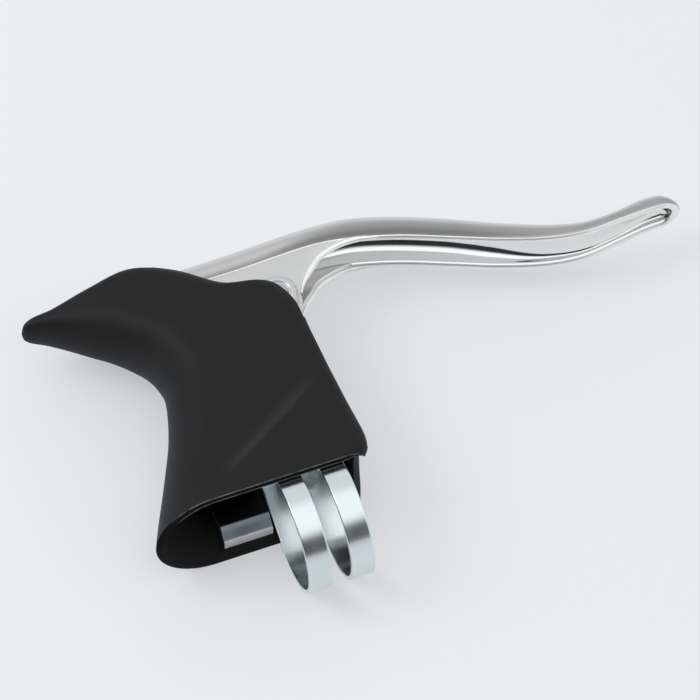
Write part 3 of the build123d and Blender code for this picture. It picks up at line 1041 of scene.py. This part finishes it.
def build_band(band):
    """The folded sheet band with its two hoops round the bar."""
    path = band_path(band)
    path = path + [(y, -z) for y, z in reversed(path[:-1])]
    half_gap = band.hoop_gap / 2
    edge = half_gap + band.hoop_width
    hoop = [half_gap, half_gap + BAND_EDGE, edge - BAND_EDGE, edge]
    lines = [-x for x in reversed(hoop)] + [0] + hoop

    def place(column, row):
        return Vector((lines[row], *path[column]))

    bm = bmesh.new()
    sheet(bm, len(path) - 1, len(lines) - 1, place)
    gap_faces = []
    for face in bm.faces:
        middle = face.calc_center_median()
        if abs(middle.x) < half_gap and middle.y < band.slot_top:
            gap_faces.append(face)
    bmesh.ops.delete(bm, geom=gap_faces, context="FACES")
    bmesh.ops.recalc_face_normals(bm, faces=bm.faces)
    zinc = finish(
        "zinc plate", band.zinc, 1, 0.22, shade=0.12, spread=0.15, patch=150, grain=1400, bump=0.05,
        depth=0.03, bare=band.worn, edge=0.2
    )
    obj = piece(bm, "band_hoops", [zinc], "clamp", ["clamp_band"])
    modify(obj, "SOLIDIFY", thickness=band.sheet, offset=0, use_even_offset=True)
    round_edges(obj, BAND_BEVEL, 2)


def dress(node, material):
    """Gives a CAD node its finish."""
    slots = frame["nodes"][node].material_slots
    if not slots:
        raise RuntimeError(f"{node} has no material slot")
    for slot in slots:
        slot.material = material


def cast_material(fittings):
    """Cast alloy with bright worn edges, painted shade inside and under the hood, and a painted
    highlight on the foot, which is not metallic.
    """
    material = finish(
        "cast alloy", fittings.cast, 1, 0.36, shade=0.25, spread=0.2, patch=260, grain=1500, bump=0.3,
        depth=0.08, bare=fittings.worn_cast, edge=0.3
    )
    tree = material.node_tree
    split = node_of(tree, "ShaderNodeSeparateXYZ", [("Vector", object_place(tree))])
    inner = soft_step(tree, math_node(tree, "ABSOLUTE", split.outputs["Z"]), *SHADE_INSIDE)
    below = soft_step(tree, split.outputs["Y"], *SHADE_UNDER_HOOD)
    foot = soft_step(tree, split.outputs["Y"], *FOOT_HIGHLIGHT)
    # Painted shade: the casting under the hood darker and bluer, darkest inside between the cheeks
    overlay(material, below, fittings.under_hood_shade)
    overlay(material, times(tree, inner, below), fittings.inside_shade)
    # Painted highlight: a pale strip along the foot, not metallic there
    overlay(material, foot, fittings.painted_highlight)
    metal = math_node(tree, "SUBTRACT", 1, foot)
    tree.links.new(metal, tree.nodes["Principled BSDF"].inputs["Metallic"])
    return material


def bolt_material(fittings):
    """Steel with the ridges of the bolt's thread."""
    material = finish(
        "bolt steel", fittings.steel, 1, 0.3, shade=0.2, spread=0.15, patch=350, grain=3000, bump=0.08
    )
    tree = material.node_tree
    turns = node_of(
        tree, "ShaderNodeTexWave",
        [("Vector", object_place(tree)), ("Scale", math.pi / (WAVE_BANDS * fittings.pitch))],
        bands_direction="Y"
    )
    emboss(material, turns.outputs["Fac"], 0.6, 0.3)
    return material


def build_fittings(fittings):
    """The finishes of the CAD nodes that are shown as they are."""
    steel = finish(
        "pin steel", fittings.steel, 1, 0.25, shade=0.12, spread=0.1, patch=400, grain=3000, bump=0.08,
        bare=fittings.worn_steel, edge=0.25
    )
    nylon = finish(
        "bush nylon", fittings.nylon, 0, 0.5, shade=0.1, spread=0.1, patch=300, grain=4000, bump=0.1
    )
    brass = finish(
        "anchor brass", fittings.brass, 1, 0.3, shade=0.2, spread=0.15, patch=300, grain=2500, bump=0.1
    )
    dress("bracket", cast_material(fittings))
    dress("clamp_bolt", bolt_material(fittings))
    dress("cable_anchor", brass)
    for node in ("pivot_pin", "clamp_nut", "bolt_washer"):
        dress(node, steel)
    for node in ("pivot_bush_upper", "pivot_bush_lower"):
        dress(node, nylon)


def build_floor(stage):
    """A round table whose edge sweeps up into a low wall."""
    bm = bmesh.new()
    radius = stage.floor_radius
    bmesh.ops.create_cone(
        bm, cap_ends=True, segments=TABLE_POINTS, radius1=radius, radius2=radius, depth=stage.backdrop
    )
    bm.normal_update()
    lid = [face for face in bm.faces if face.normal.z > 0.5]
    bmesh.ops.delete(bm, geom=lid, context="FACES_ONLY")
    foot = [edge for edge in bm.edges if all(vert.co.z < 0 for vert in edge.verts)]
    bmesh.ops.bevel(
        bm, geom=foot, affect="EDGES", offset=SWEEP_SHARE * stage.backdrop, segments=SWEEP_STEPS,
        profile=0.5, material=-1
    )
    bmesh.ops.reverse_faces(bm, faces=bm.faces)
    height = CAD_BOX[0].z - TABLE_GAP + stage.backdrop / 2
    bmesh.ops.translate(bm, verts=bm.verts, vec=(0, 0, height))
    mesh = bpy.data.meshes.new("table")
    bm.to_mesh(mesh)
    bm.free()
    mesh.shade_smooth()
    floor = bpy.data.objects.new("table", mesh)
    bpy.context.scene.collection.objects.link(floor)
    material = finish(
        "table top", stage.floor, 0, 0.55, shine=0.2,
        shade=0.02, spread=0.05, patch=6, grain=400, bump=0.01
    )
    mesh.materials.append(material)
    tree = material.node_tree
    shader = tree.nodes["Principled BSDF"]
    path = node_of(tree, "ShaderNodeLightPath").outputs
    mirrored = math_node(tree, "MAXIMUM", path["Is Camera Ray"], path["Is Glossy Ray"])
    seen = math_node(tree, "MAXIMUM", mirrored, path["Is Transmission Ray"])
    glow = math_node(tree, "MULTIPLY", seen, stage.floor_glow)
    tree.links.new(shader.inputs["Base Color"].links[0].from_socket, shader.inputs["Emission Color"])
    tree.links.new(glow, shader.inputs["Emission Strength"])
    overlay(material, glow, (0, 0, 0))


def build_world(stage):
    """A pale dome, bright overhead, with a dark flag low behind the camera and a grey wall in front."""
    world = bpy.data.worlds.new("studio")
    bpy.context.scene.world = world
    world.use_nodes = True
    tree = world.node_tree
    place = node_of(tree, "ShaderNodeTexCoord").outputs["Generated"]
    x, y, z = node_of(tree, "ShaderNodeSeparateXYZ", [("Vector", place)]).outputs
    wall = times(tree, soft_step(tree, y, *WALL_FRONT), soft_step(tree, z, *WALL_LOW))
    flag = times(
        tree,
        soft_step(tree, y, *FLAG_BEHIND),
        soft_step(tree, z, *FLAG_LOW),
        soft_step(tree, x, *FLAG_LEFT),
    )
    over = vector_math(tree, "DOT_PRODUCT", "Value", place, Vector(SKY_MIDDLE).normalized())
    studio = blend(tree, soft_step(tree, over, *SKY_EDGE), stage.dome, stage.back_light)
    studio = blend(tree, wall, studio, stage.far_wall)
    studio = blend(tree, flag, studio, stage.flag)
    tree.links.new(studio, tree.nodes["Background"].inputs["Color"])


def build_lamp(stage):
    """A soft square lamp that faces the part."""
    lamp = bpy.data.lights.new("left softbox", "AREA")
    lamp.shape = "RECTANGLE"
    lamp.size = stage.lamp_size
    lamp.size_y = stage.lamp_size
    lamp.energy = stage.lamp_power
    lamp.color = stage.lamp_colour
    obj = bpy.data.objects.new("left softbox", lamp)
    obj.location = stage.lamp_place
    way = Vector(stage.lamp_aim) - Vector(stage.lamp_place)
    obj.rotation_euler = way.to_track_quat("-Z", "Y").to_euler()
    bpy.context.scene.collection.objects.link(obj)


def build_camera(stage):
    """The camera at the photograph's viewing angle."""
    camera = bpy.data.cameras.new("photo camera")
    camera.lens = stage.lens
    camera.sensor_width = SENSOR_WIDTH
    eye = bpy.data.objects.new("photo camera", camera)
    eye.location = stage.eye
    look = (Vector(stage.aim) - Vector(stage.eye)).to_track_quat("-Z", "Y")
    eye.rotation_euler = (look @ Quaternion((0, 0, 1), stage.roll)).to_euler()
    bpy.context.scene.collection.objects.link(eye)
    bpy.context.scene.camera = eye


def build_stage(stage):
    """The table, the light and the camera."""
    bpy.context.scene.view_settings.view_transform = "Standard"
    build_floor(stage)
    build_world(stage)
    build_lamp(stage)
    build_camera(stage)


class BRAKELEVER_OT_hood(bpy.types.Operator):
    """Builds the rubber hood"""

    bl_idname = "brake_lever.hood"
    bl_label = "Hood"

    def execute(self, context):
        build_hood(context.scene.brake_lever_hood)
        return {"FINISHED"}


class BRAKELEVER_OT_blade(bpy.types.Operator):
    """Builds the lever blade and its ears"""

    bl_idname = "brake_lever.blade"
    bl_label = "Blade"

    def execute(self, context):
        build_blade(context.scene.brake_lever_blade)
        return {"FINISHED"}


class BRAKELEVER_OT_band(bpy.types.Operator):
    """Builds the clamp band"""

    bl_idname = "brake_lever.band"
    bl_label = "Clamp band"

    def execute(self, context):
        build_band(context.scene.brake_lever_band)
        return {"FINISHED"}


class BRAKELEVER_OT_fittings(bpy.types.Operator):
    """Finishes the bracket, pivot, anchor and clamp fittings"""

    bl_idname = "brake_lever.fittings"
    bl_label = "Fittings"

    def execute(self, context):
        build_fittings(context.scene.brake_lever_fittings)
        return {"FINISHED"}


class BRAKELEVER_OT_stage(bpy.types.Operator):
    """Adds the table, the light and the camera"""

    bl_idname = "brake_lever.stage"
    bl_label = "Stage"

    def execute(self, context):
        build_stage(context.scene.brake_lever_stage)
        return {"FINISHED"}


class BRAKELEVER_PT_panel(bpy.types.Panel):
    """Lists the brake lever's pieces and their settings"""

    bl_idname = "BRAKELEVER_PT_panel"
    bl_label = "Brake lever"
    bl_space_type = "VIEW_3D"
    bl_region_type = "UI"
    bl_category = "Brake lever"

    def draw(self, context):
        for part in SETTINGS:
            box = self.layout.box()
            box.operator(f"brake_lever.{part}")
            settings = getattr(context.scene, f"brake_lever_{part}")
            for key in SETTINGS[part].__annotations__:
                box.prop(settings, key)


SETTINGS = {
    "hood": HoodSettings,
    "blade": BladeSettings,
    "band": BandSettings,
    "fittings": FittingSettings,
    "stage": StageSettings,
}
OPERATORS = (
    BRAKELEVER_OT_hood,
    BRAKELEVER_OT_blade,
    BRAKELEVER_OT_band,
    BRAKELEVER_OT_fittings,
    BRAKELEVER_OT_stage,
)


def register():
    for part, group in SETTINGS.items():
        bpy.utils.register_class(group)
        setattr(bpy.types.Scene, f"brake_lever_{part}", bpy.props.PointerProperty(type=group))
    for operator in OPERATORS:
        bpy.utils.register_class(operator)
    bpy.utils.register_class(BRAKELEVER_PT_panel)


def unregister():
    bpy.utils.unregister_class(BRAKELEVER_PT_panel)
    for operator in reversed(OPERATORS):
        bpy.utils.unregister_class(operator)
    for part, group in SETTINGS.items():
        delattr(bpy.types.Scene, f"brake_lever_{part}")
        bpy.utils.unregister_class(group)


def main():
    register()
    bpy.ops.brake_lever.hood()
    bpy.ops.brake_lever.blade()
    bpy.ops.brake_lever.band()
    bpy.ops.brake_lever.fittings()
    bpy.ops.brake_lever.stage()
    bpy.context.view_layer.update()


if __name__ == "__main__":
    main()
